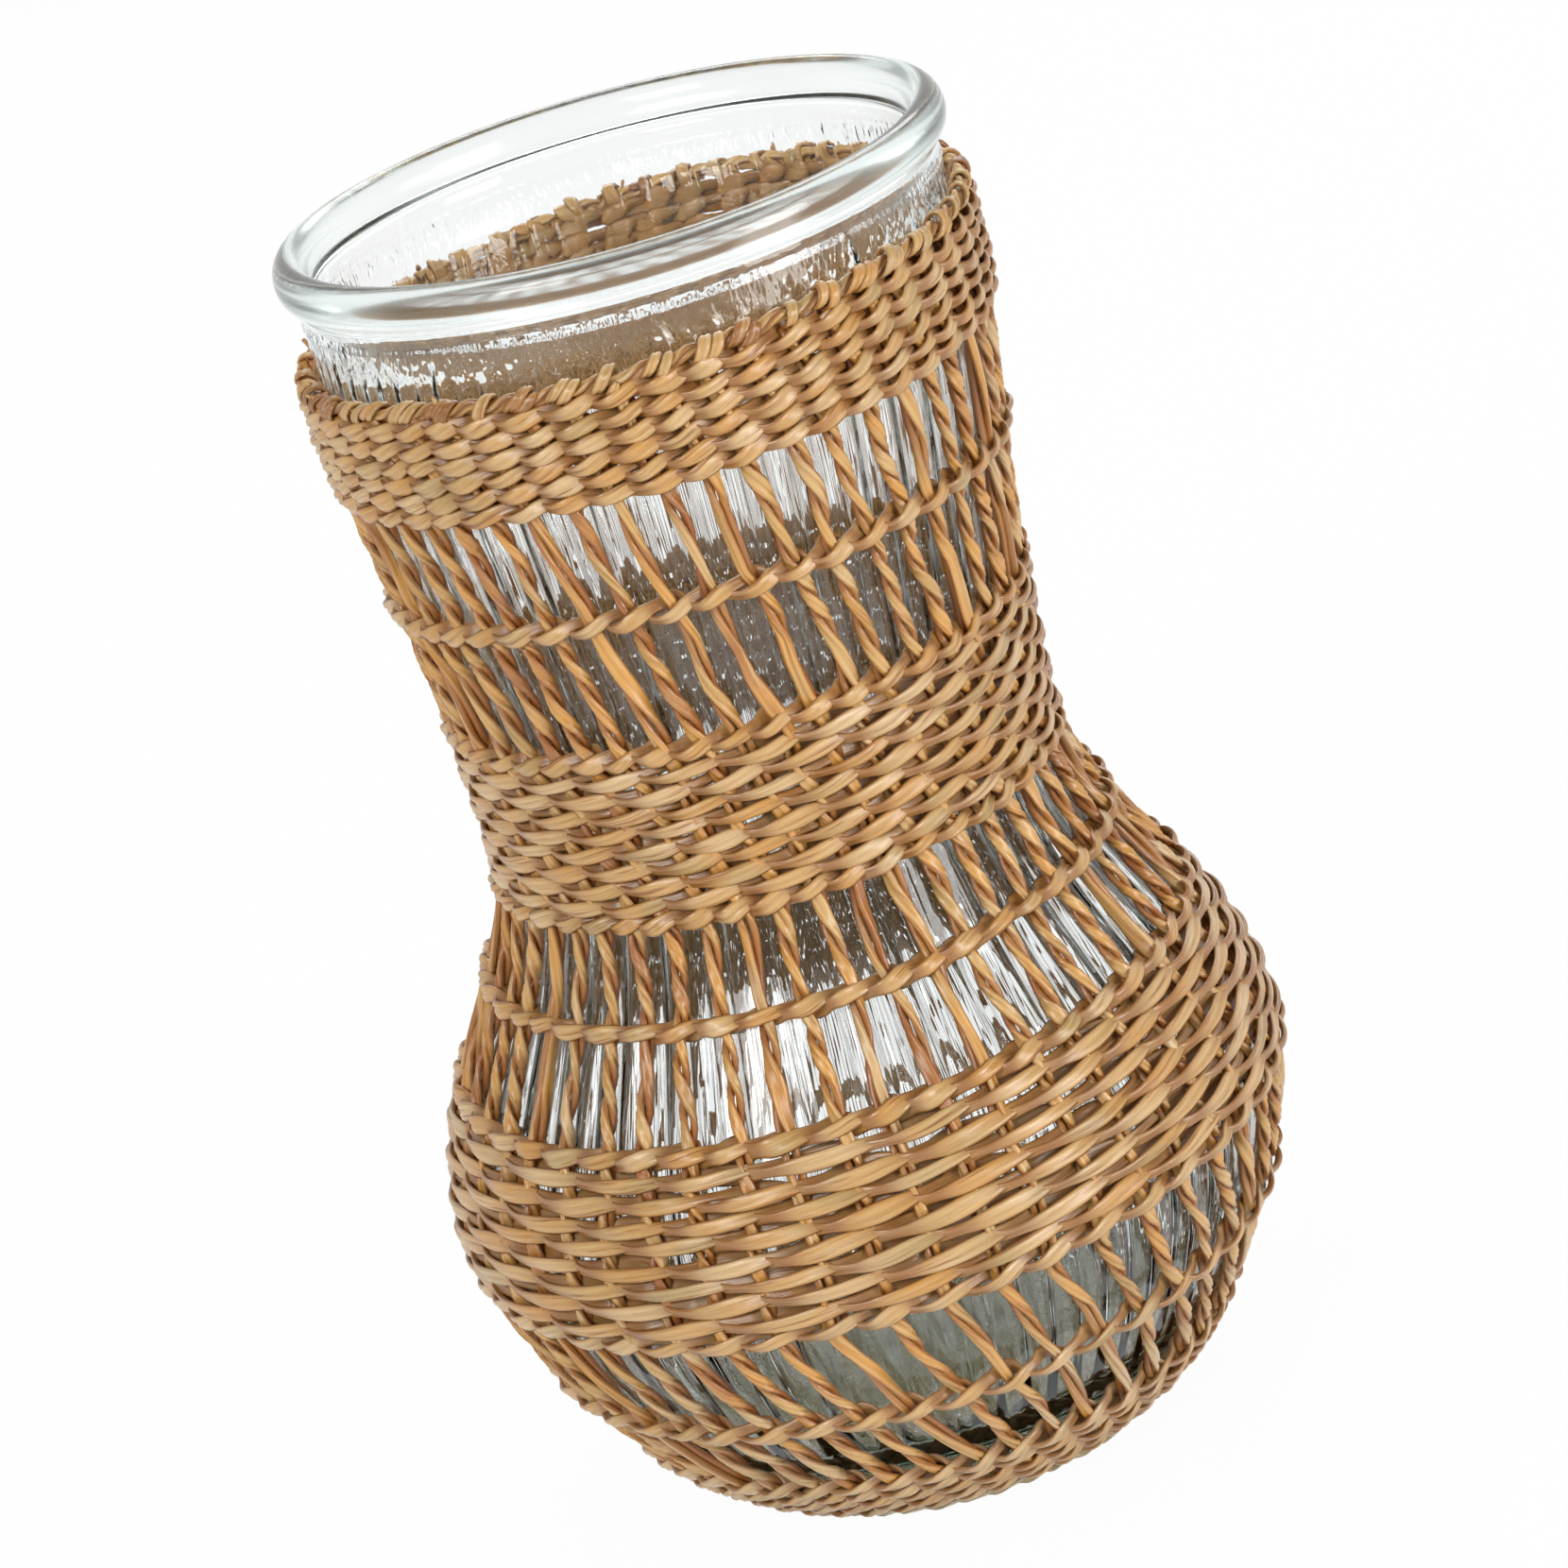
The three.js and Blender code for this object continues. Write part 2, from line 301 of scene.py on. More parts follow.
# %% [markdown]
# A screw modifier turns the profile once round and merges the last ring with the first. Applied, it leaves
# plain faces, whose normals are then made to face out of the glass.

# %% Turn the profile
FLUTES = 76
STEPS_PER_FLUTE = 9

glass_mesh = bpy.data.meshes.new("glass_vessel_pressed")
glass_edges = [(index, index + 1) for index in range(len(profile) - 1)]
glass_mesh.from_pydata([(radius, 0, height) for radius, height in profile], glass_edges, [])
glass = bpy.data.objects.new("glass_vessel_pressed", glass_mesh)
bpy.context.collection.objects.link(glass)
bpy.context.view_layer.objects.active = glass
glass.select_set(True)
bpy.ops.object.modifier_add(type="SCREW")
turning = glass.modifiers[-1]
turning.axis = "Z"
turning.steps = turning.render_steps = FLUTES * STEPS_PER_FLUTE
turning.use_merge_vertices = True
turning.merge_threshold = 0.001 * MM
bpy.ops.object.modifier_apply(modifier=turning.name)
bpy.ops.object.mode_set(mode="EDIT")
bpy.ops.mesh.select_all(action="SELECT")
bpy.ops.mesh.normals_make_consistent(inside=False)
bpy.ops.object.mode_set(mode="OBJECT")
bpy.ops.object.shade_smooth()
glass_mesh = glass.data
print("glass faces:", len(glass_mesh.polygons))

# %% [markdown]
# A flute is a groove between two ridges. It starts as a narrow arch, widens until it meets its neighbours
# and dies out above the floor. Hand-finished moulds are uneven, so each flute has its own top and depth,
# and a few reach higher over the sleeve's border than the rest.

# %% Press the flutes into the inside
FLUTE_DEPTH = 0.85 * MM
FLUTE_TOP = 268 * MM
FLUTE_ARCH = 12 * MM
FLUTE_FOOT = 22 * MM
TOP_SPREAD = 3 * MM
DEPTH_RANGE = (0.6, 1.25)
TALL_FLUTES = [int(degrees / 360 * FLUTES) for degrees in (46, 127, 132, 137, 310)]
TALL_RISE = 6 * MM
rng = np.random.default_rng(20)

points = np.empty(len(glass_mesh.vertices) * 3)
glass_mesh.vertices.foreach_get("co", points)
points = points.reshape(-1, 3)
radius = np.hypot(points[:, 0], points[:, 1])
turn = np.arctan2(points[:, 1], points[:, 0]) / (2 * np.pi) * FLUTES
flute = np.floor(turn).astype(int) % FLUTES
across = np.abs(turn - np.floor(turn) - 0.5)
tops = FLUTE_TOP + TOP_SPREAD * rng.uniform(-1, 1, FLUTES)
tops[TALL_FLUTES] += TALL_RISE
depths = FLUTE_DEPTH * rng.uniform(*DEPTH_RANGE, FLUTES)
below_top = np.clip((tops[flute] - points[:, 2]) / FLUTE_ARCH, 0, 1)
above_foot = np.clip((points[:, 2] - FLUTE_FOOT) / FLUTE_ARCH, 0, 1)
half_width = np.maximum(0.5 * np.sqrt(below_top * above_foot), 1e-4)
groove = np.clip(1 - (across / half_width) ** 2, 0, 1) * np.sqrt(below_top * above_foot)
is_inside = radius < wall(points[:, 2])[0] - GLASS_WALL / 2
push = np.where(is_inside, depths[flute] * groove, 0)
points[:, :2] *= (1 + push / np.maximum(radius, MM))[:, None]
glass_mesh.vertices.foreach_set("co", points.ravel())
glass_mesh.update()
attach(glass, "root")
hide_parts("glass_vessel")
print("flutes:", FLUTES, "deepest", round(float(push.max()) / MM, 2), "mm")

# %% [markdown]
# Clear glass bends light, and its faint green shows only where it is thick, which absorption inside the
# volume gives. Pressing leaves upright streaks down the wall and a coarse grain on the collar, made as a
# bump that follows the wall. Streaks finer than a millimetre would only frost the glass, so there are none.
# Lamps don't shine through bent glass easily, so for shadows alone the glass is simply see-through.

# %% Glass material
# Cycles of each relief in a metre, round the waist and up the wall
BROAD_STREAKS = (350, 25)
THIN_STREAKS = (900, 45)
COLLAR_GRAIN = (800, 300)
GRAIN_SHARE = 2.6
RELIEF_DEPTH = 0.22 * MM
WALL_ROUGHNESS = 0.01
RIM_HAZE = 0.12
GLASS_TINT = (0.72, 0.90, 0.86, 1)
TINT_DENSITY = 26
SHADOW_TINT = (0.93, 0.95, 0.94, 1)


def glass_relief(tree):
    """Height of the streaks and of the collar's grain, which end under the rim, and where the rim is."""
    where = tree.nodes.new("ShaderNodeTexCoord").outputs["Object"]
    heading = vector_maths(tree, "NORMALIZE", vector_maths(tree, "MULTIPLY", where, (1, 1, 0)))

    def on_the_wall(round_scale, up_scale):
        around = vector_maths(tree, "MULTIPLY", heading, [WAIST_RADIUS * round_scale] * 3)
        return vector_maths(tree, "ADD", around, vector_maths(tree, "MULTIPLY", where, (0, 0, up_scale)))

    broad = noise(tree, on_the_wall(*BROAD_STREAKS), detail=1)
    streaks = noise(tree, on_the_wall(*THIN_STREAKS), detail=1)
    relief = maths(tree, "ADD", maths(tree, "MULTIPLY", broad, 0.6), maths(tree, "MULTIPLY", streaks, 0.4))
    split = tree.nodes.new("ShaderNodeSeparateXYZ")
    tree.links.new(where, split.inputs[0])
    on_collar = ramp(tree, split.outputs["Z"], RIM_BASE - 12 * MM, RIM_BASE - 8 * MM)
    squares = [maths(tree, "MULTIPLY", split.outputs[axis], split.outputs[axis]) for axis in "XY"]
    from_axis = maths(tree, "SQRT", maths(tree, "ADD", *squares))
    outside = ramp(tree, from_axis, MOUTH_RADIUS + 1 * MM, COLLAR_RADIUS)
    grain = noise(tree, on_the_wall(*COLLAR_GRAIN), detail=1)
    roughened = maths(tree, "MULTIPLY", maths(tree, "MULTIPLY", on_collar, outside), GRAIN_SHARE)
    relief = maths(tree, "ADD", relief, maths(tree, "MULTIPLY", grain, roughened))
    below_rim = ramp(tree, split.outputs["Z"], RIM_BASE - 2 * MM, RIM_BASE - 7 * MM)
    on_rim = ramp(tree, split.outputs["Z"], RIM_BASE - 1 * MM, RIM_BASE + 2 * MM)
    return maths(tree, "MULTIPLY", relief, below_rim), on_rim


def glass_material():
    """Clear glass with its relief, its tint in the volume and see-through shadows."""
    material = bpy.data.materials.new("pressed_glass")
    material.use_nodes = True
    tree = material.node_tree
    shader = tree.nodes["Principled BSDF"]
    shader.inputs["Base Color"].default_value = (1, 1, 1, 1)
    shader.inputs["IOR"].default_value = 1.5
    shader.inputs["Transmission Weight"].default_value = 1
    bump = tree.nodes.new("ShaderNodeBump")
    bump.inputs["Strength"].default_value = 1
    bump.inputs["Distance"].default_value = RELIEF_DEPTH
    relief, on_rim = glass_relief(tree)
    tree.links.new(relief, bump.inputs["Height"])
    haze = maths(tree, "ADD", maths(tree, "MULTIPLY", on_rim, RIM_HAZE), WALL_ROUGHNESS)
    tree.links.new(haze, shader.inputs["Roughness"])
    tree.links.new(bump.outputs["Normal"], shader.inputs["Normal"])

    open_shadow = tree.nodes.new("ShaderNodeBsdfTransparent")
    open_shadow.inputs["Color"].default_value = SHADOW_TINT
    path_kind = tree.nodes.new("ShaderNodeLightPath")
    blend = tree.nodes.new("ShaderNodeMixShader")
    tree.links.new(path_kind.outputs["Is Shadow Ray"], blend.inputs[0])
    tree.links.new(shader.outputs[0], blend.inputs[1])
    tree.links.new(open_shadow.outputs[0], blend.inputs[2])
    tree.links.new(blend.outputs[0], tree.nodes["Material Output"].inputs["Surface"])
    tint = tree.nodes.new("ShaderNodeVolumeAbsorption")
    tint.inputs["Color"].default_value = GLASS_TINT
    tint.inputs["Density"].default_value = TINT_DENSITY
    tree.links.new(tint.outputs[0], tree.nodes["Material Output"].inputs["Volume"])
    return material


glass_mesh.materials.append(glass_material())
print("glass material:", glass_mesh.materials[0].name)

# %% [markdown]
# ## The rush finish
# Dried rush is straw coloured with olive, gold and red-brown patches. Fine fibres run along each strand,
# with pale ridges and dark cracks, and the skin has a soft gloss. One node group makes the colour from the
# distances kept on the strands, and mixes in brown as painted shade where a strand is shaded.

# %% Rush group
RUSH_INPUTS = {"Fibre": "NodeSocketVector", "Tone": "NodeSocketFloat", "Painted Shade": "NodeSocketFloat",
               "Cream": "NodeSocketColor", "Straw": "NodeSocketColor", "Gold": "NodeSocketColor",
               "Olive": "NodeSocketColor", "Brown": "NodeSocketColor"}
RUSH_OUTPUTS = {"Color": "NodeSocketColor", "Roughness": "NodeSocketFloat", "Height": "NodeSocketFloat"}
# Cycles of each noise in a metre, along a strand, across it and through it
PATCHES = (60, 90, 90)
TINGE = (35, 60, 60)
STREAKS = (60, 1300, 1300)
FINE_FIBRES = (160, 4200, 4200)
# Layers over the straw colour: the mask each follows, where it starts and is full, its share and its colour
COLOUR_LAYERS = (("drift", 0.5, 0.9, 1, "Gold"), ("drift", 0.52, 0.28, 0.8, "Cream"),
                 ("tinge", 0.5, 0.68, 0.75, "Olive"), ("drift", 0.9, 1.15, 0.85, "Brown"),
                 ("streaks", 0.5, 0.68, 0.55, "Cream"), ("streaks", 0.45, 0.31, 0.75, "Brown"))


def make_rush_group():
    """Colour, roughness and height of a rush strand, from its fibre distances, its tone and its painted
    shade.
    """
    tree = bpy.data.node_groups.new("rush_skin", "ShaderNodeTree")
    for name, kind in RUSH_INPUTS.items():
        tree.interface.new_socket(name, in_out="INPUT", socket_type=kind)
    for name, kind in RUSH_OUTPUTS.items():
        tree.interface.new_socket(name, in_out="OUTPUT", socket_type=kind)
    given = tree.nodes.new("NodeGroupInput").outputs
    result = tree.nodes.new("NodeGroupOutput").inputs

    def along_fibres(scale, detail, roughness=0.55):
        return noise(tree, vector_maths(tree, "MULTIPLY", given["Fibre"], scale), detail, roughness)

    patches = along_fibres(PATCHES, 2)
    streaks = along_fibres(STREAKS, 3, 0.6)
    fine = along_fibres(FINE_FIBRES, 2)
    drift = maths(tree, "ADD", maths(tree, "MULTIPLY", given["Tone"], 0.55),
                  maths(tree, "MULTIPLY", patches, 0.7))
    masks = {"drift": drift, "tinge": along_fibres(TINGE, 1), "streaks": streaks}

    colour = given["Straw"]
    for mask, start, full, share, name in COLOUR_LAYERS:
        layer = maths(tree, "MULTIPLY", ramp(tree, masks[mask], start, full), share)
        colour = mix_colour(tree, layer, colour, given[name])
    # Painted shade: the colour is mixed towards the brown, which also colours the real red-brown patches and
    # cracks, by the painted shade amount, broken up by the fibre streaks
    painted_shade_share = maths(tree, "MULTIPLY", given["Painted Shade"], maths(tree, "ADD", streaks, 0.45))
    tree.links.new(mix_colour(tree, painted_shade_share, colour, given["Brown"]), result["Color"])
    tree.links.new(maths(tree, "ADD", maths(tree, "MULTIPLY", fine, 0.3), 0.16), result["Roughness"])
    relief = maths(tree, "ADD", maths(tree, "MULTIPLY", streaks, 0.7), maths(tree, "MULTIPLY", fine, 0.3))
    tree.links.new(relief, result["Height"])
    return tree


rush_group = make_rush_group()
print("rush group inputs:", list(RUSH_INPUTS))

# %% [markdown]
# The group could hold its colours, but each material gives the same group its own. The woven strands are
# straw coloured and the twisted cords are redder. The mat lies under the glass, where little lamp light
# reaches it; its colours are a pale green, painted paler as painted light, so that it shows through the base.

# %% Rush materials
FIBRE_BUMP = 0.6
FIBRE_DEPTH = 0.3 * MM
RUSH_GLOSS = 0.8


def rush_material(name, **colours):
    """A rush finish in its own colours, read from the attributes of the strands."""
    material = bpy.data.materials.new(name)
    material.use_nodes = True
    tree = material.node_tree
    shader = tree.nodes["Principled BSDF"]
    shader.inputs["Specular IOR Level"].default_value = RUSH_GLOSS
    skin = tree.nodes.new("ShaderNodeGroup")
    skin.node_tree = rush_group
    for attribute, socket, output in (("fibre", "Fibre", "Vector"), ("tone", "Tone", "Fac"),
                                      ("painted_shade", "Painted Shade", "Fac")):
        node = tree.nodes.new("ShaderNodeAttribute")
        node.attribute_name = attribute
        tree.links.new(node.outputs[output], skin.inputs[socket])
    for colour_name, colour in colours.items():
        skin.inputs[colour_name.capitalize()].default_value = (*colour, 1)
    bump = tree.nodes.new("ShaderNodeBump")
    bump.inputs["Strength"].default_value = FIBRE_BUMP
    bump.inputs["Distance"].default_value = FIBRE_DEPTH
    tree.links.new(skin.outputs["Height"], bump.inputs["Height"])
    tree.links.new(bump.outputs["Normal"], shader.inputs["Normal"])
    tree.links.new(skin.outputs["Color"], shader.inputs["Base Color"])
    tree.links.new(skin.outputs["Roughness"], shader.inputs["Roughness"])
    return material


# Each brown is the colour of the red-brown patches and cracks, and also the colour of the painted shade
woven_rush = rush_material("woven_rush", cream=(0.64, 0.45, 0.23), straw=(0.58, 0.35, 0.13),
                           gold=(0.55, 0.28, 0.07), olive=(0.40, 0.29, 0.11), brown=(0.23, 0.075, 0.012))
twisted_rush = rush_material("twisted_rush", cream=(0.66, 0.48, 0.25), straw=(0.62, 0.37, 0.12),
                             gold=(0.64, 0.315, 0.06), olive=(0.43, 0.27, 0.09), brown=(0.30, 0.09, 0.015))
# Painted light: the mat's colours are painted paler, since the lamps barely reach it under the glass
painted_light_rush = rush_material("painted_light_rush", cream=(0.72, 0.68, 0.50), straw=(0.66, 0.60, 0.38),
                            gold=(0.62, 0.52, 0.28), olive=(0.50, 0.50, 0.28), brown=(0.36, 0.26, 0.11))
print("rush materials:", woven_rush.name, twisted_rush.name, painted_light_rush.name)

# %% [markdown]
# ## How a strand is made
# A rush strand is a flat, soft ribbon. It could be a curve with a bevel, but a curve can't be told to roll
# where two strands cross, and it forgets how far along and across the ribbon a point is, which the fibres
# of the finish need. So a small sweep draws a flattened ring at every step of a path, turned to face where
# it should, and keeps those distances in an attribute. Two more attributes hold the strand's own tone and
# its painted shade: edges, crease, inner face and the stretches tucked under other strands are painted
# browner, as the shade that falls there.

# %% Sweep a strand along a path
# The section of a ribbon, as shares of half its width and half its thickness: two soft folds with a crease
# between them on the outer face, and a flatter inner face
SECTION = np.array([(1, 0), (0.8, 0.62), (0.4, 1), (0, 1), (-0.4, 1), (-0.8, 0.62), (-1, 0),
                    (-0.6, -0.8), (0, -1), (0.6, -0.8)])
CREASE = 3
# Painted shade at each point of the section: darker at the two edges, the crease and the inner face, where
# shade falls
EDGE_SHADE = np.array([0.85, 0.25, 0, 0.3, 0, 0.25, 0.85, 0.5, 0.5, 0.5])


def unit(vectors):
    """The same directions at a length of 1."""
    return vectors / np.linalg.norm(vectors, axis=-1, keepdims=True)


def strand(path, facing, width, thickness, closed=False, tone=None, painted_shade=0.0):
    """One ribbon: its ring points, its faces and, for every point, the distances along and across it."""
    count = len(path)
    sides = len(SECTION)
    ahead = np.roll(path, -1, axis=0) - np.roll(path, 1, axis=0) if closed else np.gradient(path, axis=0)
    tangent = unit(ahead)
    facing = unit(facing - tangent * np.sum(facing * tangent, axis=1, keepdims=True))
    side = np.cross(tangent, facing)
    section = SECTION.copy()
    section[CREASE] = (rng.uniform(-0.25, 0.25), rng.uniform(0.4, 0.9))
    across = np.outer(np.broadcast_to(width, count) / 2, section[:, 0])
    depth = np.outer(np.broadcast_to(thickness, count) / 2, section[:, 1])
    points = path[:, None] + side[:, None] * across[..., None] + facing[:, None] * depth[..., None]

    steps = np.linalg.norm(np.diff(path, axis=0), axis=1)
    along = np.concatenate([[0], np.cumsum(steps)]) + rng.uniform(0, 10)
    fibre = np.stack([np.repeat(along[:, None], sides, axis=1), across, depth], axis=-1)
    tone = rng.uniform() if tone is None else tone
    tones = np.repeat(np.broadcast_to(tone, count), sides)
    # Painted shade at every point: the strand's own painted shade, or that of the point's place in the
    # section where it is darker
    painted_shades = np.maximum(np.broadcast_to(painted_shade, count)[:, None], EDGE_SHADE)

    ring = np.arange(count * sides).reshape(count, sides)
    here = ring if closed else ring[:-1]
    ahead = np.roll(ring, -1, axis=0) if closed else ring[1:]
    quads = np.stack([here, ahead, np.roll(ahead, -1, axis=1), np.roll(here, -1, axis=1)], axis=-1)
    caps = [] if closed else [ring[0].tolist(), ring[-1][::-1].tolist()]
    return {"points": points.reshape(-1, 3), "fibre": fibre.reshape(-1, 3), "quads": quads.reshape(-1, 4),
            "caps": caps, "tone": tones, "painted_shade": painted_shades.ravel()}


def piece_from_strands(name, strands, material, nodes):
    """Joins strands into one piece that rides on the frame in place of its solids."""
    faces = []
    start = 0
    for part in strands:
        faces.extend((part["quads"] + start).tolist())
        faces.extend([[corner + start for corner in cap] for cap in part["caps"]])
        start += len(part["points"])
    mesh = bpy.data.meshes.new(name)
    mesh.from_pydata(np.concatenate([part["points"] for part in strands]).tolist(), [], faces)
    fibre = mesh.attributes.new("fibre", "FLOAT_VECTOR", "POINT")
    fibre.data.foreach_set("vector", np.concatenate([part["fibre"] for part in strands]).ravel())
    for attribute in ("tone", "painted_shade"):
        values = mesh.attributes.new(attribute, "FLOAT", "POINT")
        values.data.foreach_set("value", np.concatenate([part[attribute] for part in strands]))
    mesh.shade_smooth()
    mesh.materials.append(material)
    piece = bpy.data.objects.new(name, mesh)
    bpy.context.collection.objects.link(piece)
    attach(piece, "root")
    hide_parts(*nodes)
    return piece


print("points round a strand:", len(SECTION))

# %% [markdown]
# ## Where the warps run
# The warps don't stand plumb: in the photograph they lean down to the right, most of all below the belly.
# Adding up the lean from the border downwards gives how far a warp has turned about the axis at a height.

# %% Lean of the warps and of the rows
NECK_LEAN = math.radians(9)
SHOULDER_LEAN = math.radians(1)
LOWER_LEAN = math.radians(20)
ROW_TILT = math.radians(2.3)

turn_heights = np.linspace(GLASS_BOTTOM + 0.5 * MM, TOP_BAND[1], 600)
turn_radius, turn_slope = wall(turn_heights)
lean = np.where(turn_heights > WAIST_BAND[0], NECK_LEAN,
                np.where(turn_heights > BELLY_BAND[0], SHOULDER_LEAN, LOWER_LEAN))
sideways_rate = np.tan(lean) * np.sqrt(1 + turn_slope ** 2) / turn_radius
turn_from_below = np.concatenate([[0], np.cumsum(sideways_rate[1:] * np.diff(turn_heights))])
turn_down = turn_from_below[-1] - turn_from_below


def warp_turn(height):
    """How far round a warp has turned, from the border down to this height."""
    return np.interp(height, turn_heights, turn_down)


def row_height(height, angle):
    """Height of a row at an angle: the hand-woven rows tip a little up to the right, but not at the heel."""
    settle = np.clip((height - HEEL_BAND[0]) / (LOWER_ROW - HEEL_BAND[0]), 0, 1)
    return height + math.tan(ROW_TILT) * settle * wall(height)[0] * np.cos(angle)


print("a warp turns", round(math.degrees(turn_down[0])), "degrees on its way down")

# %% [markdown]
# ## Twined rows
# Twining uses two strands at once. Each passes in front of one warp, or of two, then changes places with
# its partner and passes behind the next. Seen along the row the pair is a double helix drawn flat: a strand
# lies face out over the warps, then rolls, narrows and dips under its partner, so each visible float is a
# leaf that climbs to the right. A formula in one angle, the stage of the twist, gives all of that. Values
# that depend on the number of warps in a float are kept by that number.

# %% One twined row
WARP_OFFSET = 2.35 * MM
OUTER_SWING = {1: 2.0 * MM, 2: 1.9 * MM}
INNER_SWING = 1.55 * MM
UNDERLAP = 0.6 * MM
FRONT_BIAS = 0.5
FLOAT_SQUARENESS = {1: 0.7, 2: 0.5}
FLOAT_RISE = {1: 0.8 * MM, 2: 0.6 * MM}
FLOAT_SAG = {1: 0.2 * MM, 2: 0.5 * MM}
STEPS_PER_FLOAT = {1: 12, 2: 18}
ROLL = 0.5
END_TAPER = {1: 0.18, 2: 0.32}
BACK_SPREAD = 0.35
STRAND_THICKNESS = 1.35 * MM
# Painted shade where a strand dips under its partner, and on the stretches behind the warps
CROSSING_SHADE = 0.8
BACK_SHADE = 0.7
# Unevenness of hand work, from one float to the next and along a row
STAGE_SPREAD = 0.45
REACH_SPREAD = 0.15
RISE_SPREAD = 0.5
LEVEL_SPREAD = 0.35 * MM
WIDTH_SPREAD = 0.24
TONE_RANGE = (0, 0.8)
TONE_SPREAD = 0.4
ROW_WANDER = 0.3 * MM


def wander(angle, size, waves=(2, 3, 5, 8)):
    """A slow unevenness round the vase, as hand work has."""
    total = np.zeros_like(angle)
    for wave in waves:
        total = total + np.sin(wave * angle + rng.uniform(0, 2 * np.pi)) * rng.normal(0, 1)
    return size * total / math.sqrt(len(waves))


def per_float(stage, spread, floats):
    """A random factor for each float of a strand, carried smoothly from one float to the next."""
    factors = 1 + spread * rng.uniform(-1, 1, floats)
    return np.interp(stage / np.pi % floats, np.arange(floats + 1), np.append(factors, factors[0]))


def twine(place, warps, over, shift, width, put, painted_light=0.0):
    """The two strands of a row; put places them at an offset and a lift from the row's own line."""
    strands = []
    floats = warps // over
    even_stage = np.pi * (place - shift) / over
    pair_stage = even_stage + STAGE_SPREAD * (per_float(even_stage, 1, floats) - 1)
    for partner in (0, 1):
        stage = pair_stage + np.pi * partner
        top = np.sin(stage)
        swing = np.cos(stage) + FRONT_BIAS
        swing = swing / np.where(swing > 0, 1 + FRONT_BIAS, 1 - FRONT_BIAS)
        shaped = np.sign(swing) * np.abs(swing) ** FLOAT_SQUARENESS[over]
        behind = np.clip(-shaped, 0, 1)
        reach = np.where(shaped > 0, OUTER_SWING[over] * per_float(stage, REACH_SPREAD, floats), INNER_SWING)
        lift = FLOAT_RISE[over] * per_float(stage, RISE_SPREAD, floats) * top - FLOAT_SAG[over] * swing
        lift = lift + LEVEL_SPREAD * (per_float(stage, 1, floats) - 1)
        path, outward, upward = put(WARP_OFFSET + reach * shaped - UNDERLAP * top, lift)[:3]
        roll = ROLL * top
        facing = outward * np.cos(roll)[:, None] + upward * np.sin(roll)[:, None]
        taper = 1 - END_TAPER[over] * np.abs(top) ** np.where(top > 0, 3, 8)
        spread = per_float(stage, WIDTH_SPREAD, floats) * (1 + BACK_SPREAD * behind)
        # Painted light lowers the tone, which paints the strand paler
        tone = rng.uniform(*TONE_RANGE) + per_float(stage, TONE_SPREAD, floats) - 1 - painted_light
        # Painted shade, darkest at the crossings and on the stretches behind the warps
        painted_shade = np.maximum(CROSSING_SHADE * np.abs(top) ** 4, BACK_SHADE * behind)
        strands.append(strand(path, facing, width * taper * spread, STRAND_THICKNESS, True, tone, painted_shade))
    return strands


def places_round(warps, steps):
    """Places round a row, counted in warps, from the back of the vase round to the back again."""
    count = warps * steps
    return warps / 4 + np.arange(count) / steps


def twined_row(height, over, shift, width, painted_light=0.0):
    """A row round the vase at a height on the glass."""
    place = places_round(WARP_COUNT, STEPS_PER_FLOAT[over] // over)
    around = 2 * np.pi * place / WARP_COUNT
    level = row_height(height, around + warp_turn(height)) + wander(around, ROW_WANDER)
    angle = around + warp_turn(level)
    return twine(place, WARP_COUNT, over, shift, width,
                 lambda offset, lift: on_wall(level, angle, offset, lift), painted_light)


def twined_band(edges, rows, width, long_floats, painted_light=0.0):
    """Rows that fill a band: the two edge rows pass over one warp, the rows between over one or two."""
    pitch = (edges[1] - edges[0]) / rows
    strands = []
    for row in range(rows):
        inner_row = long_floats and 0 < row < rows - 1
        over = 2 if inner_row else 1
        shift = 0.5 + row % 2 if inner_row else row % 2
        strands += twined_row(edges[0] + pitch * (row + 0.5), over, shift, width, painted_light)
    return strands


SINGLE_WIDTH = 3.6 * MM
# Painted light: the heel band and the lower row are painted paler, for light from the floor below
HEEL_PAINTED_LIGHT = 0.4
LOWER_PAINTED_LIGHT = 0.3
bands = {
    "heel_band": twined_band(HEEL_BAND, 5, 3.3 * MM, False, HEEL_PAINTED_LIGHT),
    "belly_band": twined_band(BELLY_BAND, 10, 3.7 * MM, True),
    "waist_band": twined_band(WAIST_BAND, 10, 3.5 * MM, True),
    "top_band": twined_band(TOP_BAND, 6, 3.7 * MM, False),
    "lower_row": twined_row(LOWER_ROW, 1, 0, SINGLE_WIDTH, LOWER_PAINTED_LIGHT),
    "shoulder_row": twined_row(SHOULDER_ROW, 1, 0, SINGLE_WIDTH),
    "upper_row": twined_row(UPPER_ROW, 1, 0, SINGLE_WIDTH),
}
for name, strands in bands.items():
    woven = piece_from_strands(name + "_woven", strands, woven_rush, [name])
    print(woven.name, len(woven.data.polygons), "faces")

# %% [markdown]
# ## Warps
# Each warp is a cord of two plies. The plies follow the warp's line and circle each other, flattened against
# the glass, so their faces show as slanting leaves. A stiff dry strand bends in kinks and not in waves, so
# its unevenness is random values joined by straight runs. Some cords are twisted tight and some loosely.

